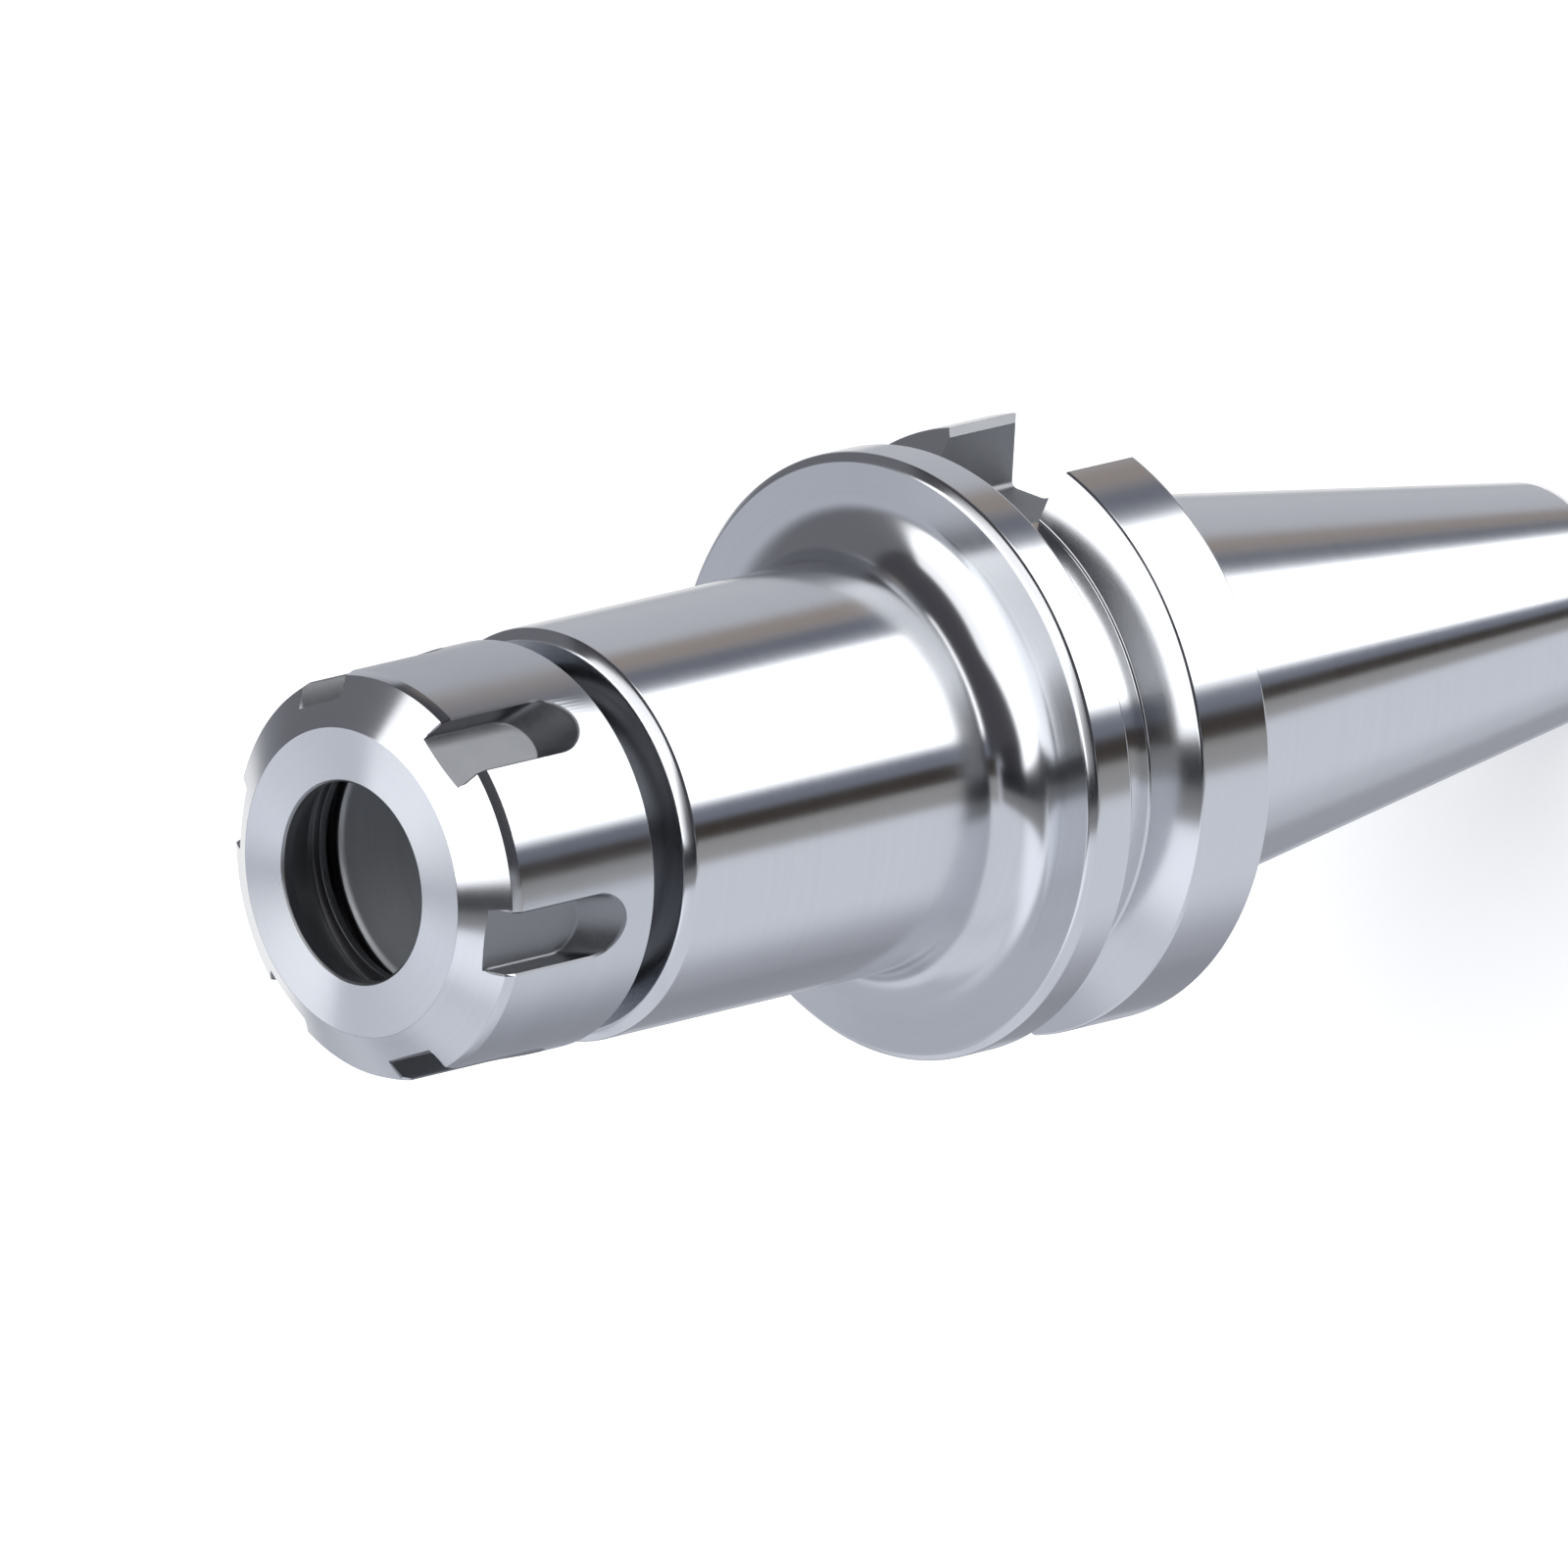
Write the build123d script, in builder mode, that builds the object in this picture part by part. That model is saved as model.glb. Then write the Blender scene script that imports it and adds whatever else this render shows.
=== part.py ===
from build123d import *
import math
import os

os.makedirs("parts", exist_ok=True)

# Collet chuck holder, millimetres.
# The gauge plane of the taper is z = 0 and +Z runs along the axis to the nose.
# The drive slots lie on the X axis.

# driving dimensions of the taper shank
GAUGE_DIA = 44.45
TAPER_SLOPE = 7 / 48
TAPER_LEN = 65.4
SMALL_END_CHAMFER = 0.5
UNDERCUT_DEPTH = 0.6

# driving dimensions of the flange
FLANGE_DIA = 63.0
FLANGE_REAR = 2.0
FLANGE_FRONT = 27.0
FLANGE_EDGE = 0.8
FLANGE_REAR_EDGE = 0.4
GROOVE_CENTRE = 16.6
GROOVE_MOUTH = 10.0
GROOVE_FLOOR_DIA = 53.0
GROOVE_FLANK = 30.0
GROOVE_EDGE = 0.3

# driving dimensions of the two drive slots
SLOT_WIDTH = 16.1
SLOT_FLOOR = 22.6
SLOT_MOUTH_CHAMFER = 1.0
SLOT_FLOOR_FILLET = 0.8
SLOT_END_RADIUS = 2.5
SLOT_END_GAP = 0.6

# driving dimensions of the parallel body and its fillet
BODY_DIA = 42.6
BODY_FILLET = 5.5
BODY_CHAMFER = 1.0
SHOULDER_Z = 73.2

# driving dimensions of the threaded nose
NOSE_THREAD_DIA = 32.0
NOSE_THREAD_PITCH = 1.5
NOSE_LEN = 16.4
NOSE_CHAMFER = 1.1
NECK_LEN = 2.9
NECK_DEPTH = 0.35
THREAD_CLEARANCE = 0.05

# driving dimensions of the collet socket and the bores behind it
SOCKET_MOUTH_DIA = 26.0
SOCKET_CHAMFER = 0.5
SOCKET_HALF_ANGLE = 8.0
CLEARANCE_BORE_DIA = 18.0
CLEARANCE_BORE_END = 20.0
COOLANT_BORE_DIA = 10.0
DRILL_POINT = 59.0
DRAWBAR_THREAD_DIA = 16.0
DRAWBAR_THREAD_PITCH = 2.0
DRAWBAR_THREAD_LEN = 28.0
PILOT_DIA = 17.0
PILOT_DEPTH = 7.0
PILOT_CHAMFER = 0.6

# driving dimensions of the clamping nut
NUT_DIA = 42.0
NUT_FACE_Z = 100.0
NUT_LEN = 22.5
NUT_CONE_INNER_DIA = 31.8
NUT_CONE_SLOPE = 0.65
NUT_EDGE_DEPTH = 0.35
NUT_EDGE_LEN = 1.1
NUT_REAR_CHAMFER = 0.4
NUT_MOUTH_DIA = 20.6
NUT_MOUTH_CHAMFER = 0.6
NUT_MOUTH_LAND = 0.8
COLLET_CONE_ANGLE = 30.0
COLLET_CONE_DIA = 25.5
COLLAR_POCKET_DIA = 26.6
COLLAR_POCKET_LEN = 1.2
LIP_DIA = 24.6
LIP_LEN = 0.9
LIP_OFFSET = 0.5
NUT_RELIEF_DIA = 32.6
NUT_RELIEF_LEN = 2.2

# driving dimensions of the six spanner slots
SPANNER_COUNT = 6
SPANNER_WIDTH = 6.6
SPANNER_DEPTH = 2.7
SPANNER_REAR_WALL = 4.1
SPANNER_RUNOUT = 4.2
SPANNER_CLOCK = 25.7

# radii and stations that follow from the driving dimensions
gauge_r = GAUGE_DIA / 2
small_z = -TAPER_LEN
small_edge_z = small_z + SMALL_END_CHAMFER
small_edge_r = gauge_r + TAPER_SLOPE * small_edge_z
undercut_r = gauge_r - UNDERCUT_DEPTH
flange_r = FLANGE_DIA / 2
groove_floor_r = GROOVE_FLOOR_DIA / 2
groove_depth = flange_r - groove_floor_r
groove_rear = GROOVE_CENTRE - GROOVE_MOUTH / 2
groove_front = GROOVE_CENTRE + GROOVE_MOUTH / 2
flank_run = groove_depth * math.tan(math.radians(GROOVE_FLANK))
floor_rear = groove_rear + flank_run
floor_front = groove_front - flank_run
body_r = BODY_DIA / 2
nose_z = SHOULDER_Z + NOSE_LEN
pitch_r = (NOSE_THREAD_DIA - 0.6495 * NOSE_THREAD_PITCH) / 2
nose_r = pitch_r - THREAD_CLEARANCE / 2
nut_thread_r = pitch_r + THREAD_CLEARANCE / 2
neck_r = (NOSE_THREAD_DIA - 1.2268 * NOSE_THREAD_PITCH) / 2 - NECK_DEPTH
neck_end_z = SHOULDER_Z + NECK_LEN
socket_r = SOCKET_MOUTH_DIA / 2
socket_z = nose_z - SOCKET_CHAMFER
clear_r = CLEARANCE_BORE_DIA / 2
socket_len = (socket_r - clear_r) / math.tan(math.radians(SOCKET_HALF_ANGLE))
socket_end_z = socket_z - socket_len
coolant_r = COOLANT_BORE_DIA / 2
clear_point = (clear_r - coolant_r) / math.tan(math.radians(DRILL_POINT))
drawbar_r = (DRAWBAR_THREAD_DIA - 1.0825 * DRAWBAR_THREAD_PITCH) / 2
pilot_r = PILOT_DIA / 2
pilot_z = small_z + PILOT_DEPTH
pilot_lead = pilot_r - drawbar_r
drawbar_end_z = pilot_z + pilot_lead + DRAWBAR_THREAD_LEN
drawbar_point = (drawbar_r - coolant_r) / math.tan(math.radians(DRILL_POINT))

# the cutter of a drive slot: its section has round floor corners and its plan has round end corners
slot_half = SLOT_WIDTH / 2
slot_end_z = groove_front - SLOT_END_GAP
slot_start_z = FLANGE_REAR - 1
slot_reach = flange_r + 2
slot_mouth_x = math.sqrt(flange_r ** 2 - slot_half ** 2) - SLOT_MOUTH_CHAMFER
mouth_half = slot_half + slot_reach - slot_mouth_x

with BuildPart() as slot_cutter:
    with BuildSketch(Plane.XY.offset(slot_start_z)) as slot_section:
        with BuildLine():
            Polyline(
                (SLOT_FLOOR, -slot_half),
                (slot_reach, -slot_half),
                (slot_reach, slot_half),
                (SLOT_FLOOR, slot_half),
                close=True,
            )
        make_face()
        fillet(slot_section.vertices().group_by(Axis.X)[0], SLOT_FLOOR_FILLET)
    extrude(amount=slot_end_z - slot_start_z)
    end_edges = slot_cutter.edges().filter_by(Axis.X).group_by(Axis.Z)[-1]
    fillet(end_edges, SLOT_END_RADIUS)
    # the broken edge along the rim of the rear flange
    with BuildSketch(Plane.XY.offset(slot_start_z)):
        with BuildLine():
            Polyline(
                (slot_mouth_x, -slot_half),
                (slot_mouth_x, slot_half),
                (slot_reach, mouth_half),
                (slot_reach, -mouth_half),
                close=True,
            )
        make_face()
    extrude(amount=floor_rear - slot_start_z)
    # the broken edge round the slot in the rear face
    with BuildSketch(Plane.XY.offset(FLANGE_REAR)):
        with BuildLine():
            Polyline(
                (SLOT_FLOOR - SLOT_MOUTH_CHAMFER, -slot_half - SLOT_MOUTH_CHAMFER),
                (slot_reach + SLOT_MOUTH_CHAMFER, -slot_half - SLOT_MOUTH_CHAMFER),
                (slot_reach + SLOT_MOUTH_CHAMFER, slot_half + SLOT_MOUTH_CHAMFER),
                (SLOT_FLOOR - SLOT_MOUTH_CHAMFER, slot_half + SLOT_MOUTH_CHAMFER),
                close=True,
            )
        make_face()
    extrude(amount=SLOT_MOUTH_CHAMFER, taper=45)

# the holder body: the turned outline, then the bores, then the two milled slots
with BuildPart() as holder_body:
    with BuildSketch(Plane.XZ):
        with BuildLine():
            Polyline(
                (0, small_z),
                (small_edge_r - SMALL_END_CHAMFER, small_z),
                (small_edge_r, small_edge_z),
                (gauge_r, 0),
                (undercut_r, UNDERCUT_DEPTH),
                (undercut_r, FLANGE_REAR),
                (flange_r - FLANGE_REAR_EDGE, FLANGE_REAR),
                (flange_r, FLANGE_REAR + FLANGE_REAR_EDGE),
                (flange_r, groove_rear - GROOVE_EDGE),
                (flange_r - GROOVE_EDGE, groove_rear + GROOVE_EDGE * flank_run / groove_depth),
                (groove_floor_r, floor_rear),
                (groove_floor_r, floor_front),
                (flange_r - GROOVE_EDGE, groove_front - GROOVE_EDGE * flank_run / groove_depth),
                (flange_r, groove_front + GROOVE_EDGE),
                (flange_r, FLANGE_FRONT - FLANGE_EDGE),
                (flange_r - FLANGE_EDGE, FLANGE_FRONT),
                (body_r + BODY_FILLET, FLANGE_FRONT),
            )
            CenterArc((body_r + BODY_FILLET, FLANGE_FRONT + BODY_FILLET), BODY_FILLET, 270, -90)
            Polyline(
                (body_r, FLANGE_FRONT + BODY_FILLET),
                (body_r, SHOULDER_Z - BODY_CHAMFER),
                (body_r - BODY_CHAMFER, SHOULDER_Z),
                (neck_r, SHOULDER_Z),
                (neck_r, neck_end_z),
                (nose_r, neck_end_z + nose_r - neck_r),
                (nose_r, nose_z - NOSE_CHAMFER),
                (nose_r - NOSE_CHAMFER, nose_z),
                (0, nose_z),
                (0, small_z),
            )
        make_face()
    revolve(axis=Axis.Z)
    # socket, clearance bore, coolant bore and drawbar bore, turned as one hollow
    with BuildSketch(Plane.XZ):
        with BuildLine():
            Polyline(
                (0, nose_z + 1),
                (socket_r + SOCKET_CHAMFER + 1, nose_z + 1),
                (socket_r, socket_z),
                (clear_r, socket_end_z),
                (clear_r, CLEARANCE_BORE_END),
                (coolant_r, CLEARANCE_BORE_END - clear_point),
                (coolant_r, drawbar_end_z + drawbar_point),
                (drawbar_r, drawbar_end_z),
                (drawbar_r, pilot_z + pilot_lead),
                (pilot_r, pilot_z),
                (pilot_r, small_z + PILOT_CHAMFER),
                (pilot_r + PILOT_CHAMFER + 1, small_z - 1),
                (0, small_z - 1),
                close=True,
            )
        make_face()
    revolve(axis=Axis.Z, mode=Mode.SUBTRACT)
    with PolarLocations(0, 2):
        add(slot_cutter.part, mode=Mode.SUBTRACT)

# the cutter of a spanner slot: a stadium that leans back toward the rear as it climbs from the floor
nut_r = NUT_DIA / 2
nut_rear_z = NUT_FACE_Z - NUT_LEN
spanner_half = SPANNER_WIDTH / 2
spanner_floor = nut_r - SPANNER_DEPTH
spanner_reach = SPANNER_DEPTH + 1.5
spanner_end_z = nut_rear_z + SPANNER_REAR_WALL
floor_end_z = spanner_end_z + SPANNER_RUNOUT
top_end_z = floor_end_z - SPANNER_RUNOUT * spanner_reach / SPANNER_DEPTH
spanner_open_z = NUT_FACE_Z + 2

with BuildPart() as spanner_cutter:
    floor_plane = Plane(origin=(spanner_floor, 0, 0), x_dir=(0, 1, 0), z_dir=(1, 0, 0))
    with BuildSketch(floor_plane):
        with BuildLine():
            Line((-spanner_half, spanner_open_z), (-spanner_half, floor_end_z + spanner_half))
            CenterArc((0, floor_end_z + spanner_half), spanner_half, 180, 180)
            Line((spanner_half, floor_end_z + spanner_half), (spanner_half, spanner_open_z))
            Line((spanner_half, spanner_open_z), (-spanner_half, spanner_open_z))
        make_face()
    with BuildSketch(floor_plane.offset(spanner_reach)):
        with BuildLine():
            Line((-spanner_half, spanner_open_z), (-spanner_half, top_end_z + spanner_half))
            CenterArc((0, top_end_z + spanner_half), spanner_half, 180, 180)
            Line((spanner_half, top_end_z + spanner_half), (spanner_half, spanner_open_z))
            Line((spanner_half, spanner_open_z), (-spanner_half, spanner_open_z))
        make_face()
    loft(ruled=True)

# the clamping nut: turned outline, turned hollow, eccentric extracting lip, six slots
nut_cone_r = NUT_CONE_INNER_DIA / 2
nut_edge_r = nut_r - NUT_EDGE_DEPTH
nut_edge_z = NUT_FACE_Z - NUT_CONE_SLOPE * (nut_edge_r - nut_cone_r)
mouth_r = NUT_MOUTH_DIA / 2
mouth_edge_z = NUT_FACE_Z - NUT_MOUTH_CHAMFER
cone_top_z = mouth_edge_z - NUT_MOUTH_LAND
cone_r = COLLET_CONE_DIA / 2
cone_end_z = cone_top_z - (cone_r - mouth_r) / math.tan(math.radians(COLLET_CONE_ANGLE))
pocket_r = COLLAR_POCKET_DIA / 2
pocket_end_z = cone_end_z - COLLAR_POCKET_LEN
lip_r = LIP_DIA / 2
lip_end_z = pocket_end_z - LIP_LEN
relief_r = NUT_RELIEF_DIA / 2
relief_end_z = lip_end_z - NUT_RELIEF_LEN
thread_end_z = relief_end_z - (relief_r - nut_thread_r)
nut_lead = NUT_REAR_CHAMFER * 2

with BuildPart() as clamping_nut:
    with BuildSketch(Plane.XZ):
        with BuildLine():
            Polyline(
                (0, nut_rear_z),
                (nut_r - NUT_REAR_CHAMFER, nut_rear_z),
                (nut_r, nut_rear_z + NUT_REAR_CHAMFER),
                (nut_r, nut_edge_z - NUT_EDGE_LEN),
                (nut_edge_r, nut_edge_z),
                (nut_cone_r, NUT_FACE_Z),
                (0, NUT_FACE_Z),
                close=True,
            )
        make_face()
    revolve(axis=Axis.Z)
    # mouth, collet cone and collar pocket
    with BuildSketch(Plane.XZ):
        with BuildLine():
            Polyline(
                (0, NUT_FACE_Z + 1),
                (mouth_r + NUT_MOUTH_CHAMFER + 1, NUT_FACE_Z + 1),
                (mouth_r, mouth_edge_z),
                (mouth_r, cone_top_z),
                (cone_r, cone_end_z),
                (pocket_r, cone_end_z),
                (pocket_r, pocket_end_z),
                (0, pocket_end_z),
                close=True,
            )
        make_face()
    revolve(axis=Axis.Z, mode=Mode.SUBTRACT)
    # thread relief and thread bore with its lead-in
    with BuildSketch(Plane.XZ):
        with BuildLine():
            Polyline(
                (0, lip_end_z),
                (relief_r, lip_end_z),
                (relief_r, relief_end_z),
                (nut_thread_r, thread_end_z),
                (nut_thread_r, nut_rear_z + nut_lead),
                (nut_thread_r + nut_lead + 1, nut_rear_z - 1),
                (0, nut_rear_z - 1),
                close=True,
            )
        make_face()
    revolve(axis=Axis.Z, mode=Mode.SUBTRACT)
    # the eye of the extracting lip lies off the axis
    with BuildSketch(Plane.XY.offset(lip_end_z)):
        with Locations((LIP_OFFSET, 0)):
            Circle(lip_r)
    extrude(amount=LIP_LEN, mode=Mode.SUBTRACT)
    with PolarLocations(0, SPANNER_COUNT, SPANNER_CLOCK):
        add(spanner_cutter.part, mode=Mode.SUBTRACT)

holder_body.part.label = "holder_body"
export_step(holder_body.part, "parts/holder_body.step")
clamping_nut.part.label = "clamping_nut"
export_step(clamping_nut.part, "parts/clamping_nut.step")
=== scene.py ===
import math

import bpy
import numpy as np
from bpy.props import FloatProperty, FloatVectorProperty, IntProperty, PointerProperty
from mathutils import Matrix, Vector


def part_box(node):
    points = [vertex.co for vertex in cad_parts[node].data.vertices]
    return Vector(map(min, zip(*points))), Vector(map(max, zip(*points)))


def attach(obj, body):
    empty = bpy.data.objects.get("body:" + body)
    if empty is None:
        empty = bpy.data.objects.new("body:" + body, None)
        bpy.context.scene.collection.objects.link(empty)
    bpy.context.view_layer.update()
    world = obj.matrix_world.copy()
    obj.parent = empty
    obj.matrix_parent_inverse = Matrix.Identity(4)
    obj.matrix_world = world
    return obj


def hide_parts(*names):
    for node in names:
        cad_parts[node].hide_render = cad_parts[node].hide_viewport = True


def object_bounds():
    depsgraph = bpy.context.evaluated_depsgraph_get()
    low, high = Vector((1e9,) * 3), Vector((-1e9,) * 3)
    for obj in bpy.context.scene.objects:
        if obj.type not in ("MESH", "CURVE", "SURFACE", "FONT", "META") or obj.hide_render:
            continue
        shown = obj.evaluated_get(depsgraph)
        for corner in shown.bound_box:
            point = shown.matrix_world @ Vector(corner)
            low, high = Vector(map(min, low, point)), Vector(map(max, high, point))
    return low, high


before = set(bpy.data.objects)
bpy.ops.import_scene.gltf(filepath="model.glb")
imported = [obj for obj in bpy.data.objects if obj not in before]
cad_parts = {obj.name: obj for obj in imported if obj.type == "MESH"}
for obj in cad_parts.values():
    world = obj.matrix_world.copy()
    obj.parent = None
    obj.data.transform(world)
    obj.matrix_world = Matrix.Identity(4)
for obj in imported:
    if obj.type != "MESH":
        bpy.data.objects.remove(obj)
CAD_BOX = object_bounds()

bl_info = {
    "name": "Collet Chuck Holder",
    "version": (1, 0, 0),
    "blender": (4, 5, 0),
    "location": "View3D > Sidebar > Holder",
    "description": "Turned steel collet chuck holder with its clamping nut, and the stage it is shown on",
    "category": "Add Mesh",
}

MM = 0.001
MICRON = 0.001 * MM
# Facets round each turned surface, steps in one turn of a thread, and points on each softened corner.
SEGMENTS = 288
TURN_STEPS = 96
CORNER_STEPS = 4
# Edges sharper than this stay crisp, and larger faces lead the normals by this weight.
CREASE_ANGLE = math.radians(32)
FACE_WEIGHT = 80
HOLDER_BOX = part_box("holder_body")
NUT_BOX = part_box("clamping_nut")


def linear(hex_colour):
    """sRGB hex to linear RGBA, each channel by the sRGB transfer curve."""
    srgb = np.array([int(hex_colour[i:i + 2], 16) for i in (1, 3, 5)]) / 255
    lin = np.where(srgb <= 0.04045, srgb / 12.92, ((srgb + 0.055) / 1.055) ** 2.4)
    return (*lin.tolist(), 1.0)


def add(tree, kind, inputs=(), **settings):
    """One node with its settings; an input that is given a socket is linked to it."""
    new = tree.nodes.new(kind)
    for key, value in settings.items():
        setattr(new, key, value)
    for key, value in dict(inputs).items():
        if isinstance(value, bpy.types.NodeSocket):
            tree.links.new(value, new.inputs[key])
        else:
            new.inputs[key].default_value = value
    return new


# sizes and looks that a user would change

def length(label, value, text):
    """A length property, its default given in metres."""
    return FloatProperty(name=label, description=text, default=value, min=0.0, precision=5,
                         subtype="DISTANCE", unit="LENGTH")


def colour(label, hex_colour, text):
    """A colour property, its default given as an sRGB hex value."""
    return FloatVectorProperty(name=label, description=text, default=linear(hex_colour)[:3],
                               size=3, min=0.0, max=1.0, subtype="COLOR")


def share(label, value, text):
    """A property from 0 to 1."""
    return FloatProperty(name=label, description=text, default=value, min=0.0, max=1.0, subtype="FACTOR")


class HolderSizes(bpy.types.PropertyGroup):
    """Sizes of the turned and milled holder body."""
    gauge_dia: length("Gauge diameter", 44.45 * MM, "Diameter of the 7/24 cone at the gauge plane")
    taper_len: length("Taper length", -HOLDER_BOX[0].z, "From the gauge plane to the small end")
    flange_dia: length("Flange diameter", 2 * HOLDER_BOX[1].x, "Outside diameter of the driving flange")
    groove_floor_dia: length("Groove floor diameter", 53.0 * MM, "Floor of the gripper groove")
    slot_width: length("Drive slot width", 16.1 * MM, "Width of the two slots for the spindle keys")
    slot_floor: length("Drive slot floor", 22.6 * MM, "Distance of the slot floor from the axis")
    body_dia: length("Body diameter", 42.6 * MM, "Long parallel body in front of the flange")
    body_fillet: length("Body fillet", 5.5 * MM, "Round between the flange and the body")
    shoulder: length("Shoulder", 73.2 * MM, "From the gauge plane to the shoulder behind the nut")
    nose: length("Nose", HOLDER_BOX[1].z, "From the gauge plane to the face of the threaded nose")
    edge_break: length("Edge break", 0.25 * MM, "Size of the stoned edges")


class NutSizes(bpy.types.PropertyGroup):
    """Sizes of the clamping nut."""
    nut_dia: length("Nut diameter", 42.0 * MM, "Outside diameter of the nut")
    rear: length("Nut rear face", NUT_BOX[0].z, "From the gauge plane to the rear face")
    face: length("Nut front face", NUT_BOX[1].z, "From the gauge plane to the front face")
    cone_inner_dia: length("Face ring diameter", 31.8 * MM, "Where the front cone meets the flat face")
    mouth_dia: length("Mouth diameter", 20.6 * MM, "Hole that the tool passes through")
    slot_width: length("Spanner slot width", 6.6 * MM, "Width of a slot for the hook spanner")
    slot_depth: length("Spanner slot depth", 2.7 * MM, "Depth below the outside diameter")
    slot_edge: length("Slot edge break", 0.2 * MM, "Fine chamfer round each spanner slot")
    slot_count: IntProperty(name="Spanner slots", description="How many slots lie round the nut",
                            default=6, min=3, max=12)


class SteelLooks(bpy.types.PropertyGroup):
    """Colours and finish of the steels."""
    polished: colour("Polished steel", "#D3D5D9", "Colour of the hardened and polished body")
    ground: colour("Ground steel", "#CED1D6", "Colour of the finely ground nut")
    # A lighter copy of the nut steel's colour: painted sheen for the bright light on the front face.
    face_with_sheen: colour("Nut face", "#EBEEF4", "Colour of the nut's front face")
    milled: colour("Milled steel", "#8E9094", "Colour of the milled slots")
    # This darker grey is painted shade for the threads, the hollows, the nut's mouth and the nose face.
    painted_shade: colour("Painted shade steel", "#96979A", "Colour of the threads and hollows where shade is painted")
    polished_roughness: share("Polished roughness", 0.15, "Roughness of the polished body")
    ground_roughness: share("Ground roughness", 0.22, "Roughness of the ground nut")
    milled_roughness: share("Milled roughness", 0.42, "Roughness of the milled slots")


class StudioLooks(bpy.types.PropertyGroup):
    """Floor and light tent of the stage."""
    floor: colour("Floor", "#F2F2F2", "Colour of the pale floor")
    tent: share("Tent brightness", 0.42, "Brightness of the plain tent wall")
    floor_lift: share("Floor lift", 0.3, "How far the camera sees the floor lifted towards white")
    floor_radius: length("Floor radius", 6.0, "Radius of the round floor")


# surfaces

def softened(points, radius, most=0.45):
    """Each corner P of the closed outline, with cut points A and C at the given distance along its two
    sides, or at the share `most` of the shorter side where that is less, becomes the parabola
    (1-t)^2 A + 2t(1-t) P + t^2 C. Corners with radius 0 keep one point."""
    pts = np.asarray(points, float)
    rad = np.broadcast_to(np.asarray(radius, float), len(pts))
    to_prev, to_next = np.roll(pts, 1, 0) - pts, np.roll(pts, -1, 0) - pts
    len_prev, len_next = np.linalg.norm(to_prev, axis=1), np.linalg.norm(to_next, axis=1)
    cut = np.minimum(rad, most * np.minimum(len_prev, len_next))
    a = pts + to_prev * (cut / len_prev)[:, None]
    c = pts + to_next * (cut / len_next)[:, None]
    t = np.linspace(0, 1, CORNER_STEPS)[None, :, None]
    curve = (1 - t) ** 2 * a[:, None] + 2 * t * (1 - t) * pts[:, None] + t ** 2 * c[:, None]
    keep = np.ones((len(pts), CORNER_STEPS), bool)
    keep[cut <= 0, 1:] = False
    return curve[keep]


def grid_faces(rows, cols, wrap_rows=True, wrap_cols=True):
    """Four corners of every cell of a rows by cols grid, first along a row and then to the next row."""
    i = np.arange(rows if wrap_rows else rows - 1)[:, None]
    j = np.arange(cols if wrap_cols else cols - 1)[None, :]
    i2, j2 = (i + 1) % rows, (j + 1) % cols
    cells = [i * cols + j, i * cols + j2, i2 * cols + j2, i2 * cols + j]
    return np.stack([np.broadcast_to(c, (i.size, j.size)) for c in cells], -1).reshape(-1, 4)


def new_object(name, verts, quads, caps=(), material=None):
    """A mesh object from an array of corners, an array of quads and a few end caps, turned so that its
    signed volume, the sum of the triple products of the corners of its triangles, is positive."""
    fans = [np.array([(cap[0], cap[k], cap[k + 1]) for k in range(1, len(cap) - 1)]) for cap in caps]
    a, b, c = (verts[np.concatenate([quads[:, :3], quads[:, (0, 2, 3)], *fans])[:, k]] for k in range(3))
    volume = np.einsum("ij,ij->", a, np.cross(b, c))
    faces = [list(f) for f in quads.tolist()] + [list(f) for f in caps]
    if volume < 0:
        faces = [f[::-1] for f in faces]
    mesh = bpy.data.meshes.new(name)
    mesh.from_pydata(verts.tolist(), [], faces)
    mesh.validate()
    if material:
        mesh.materials.append(material)
    obj = bpy.data.objects.new(name, mesh)
    bpy.context.scene.collection.objects.link(obj)
    return obj


def turned(name, outline, off_axis=None, material=None):
    """Surface of revolution: the point (r, z) of the closed outline at angle a lies at
    (r cos a + e, r sin a, z), where e is the row's distance off the axis."""
    outline = np.asarray(outline, float)
    angle = np.linspace(0, 2 * np.pi, SEGMENTS, endpoint=False)[None, :]
    r, z = outline[:, :1], outline[:, 1:]
    shift = np.zeros_like(r) if off_axis is None else np.asarray(off_axis, float)[:, None]
    verts = np.stack([r * np.cos(angle) + shift, r * np.sin(angle), z + 0 * angle], -1).reshape(-1, 3)
    return new_object(name, verts, grid_faces(len(outline), SEGMENTS), material=material)


def stacked(name, rings, material=None):
    """Closed solid from rings of equal point count, one above the other, with a flat cap at each end."""
    rings = np.asarray(rings, float)
    rows, cols = rings.shape[:2]
    quads = grid_faces(rows, cols, wrap_rows=False)
    caps = [list(range(cols))[::-1], list(range((rows - 1) * cols, rows * cols))]
    return new_object(name, rings.reshape(-1, 3), quads, caps, material)


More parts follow.
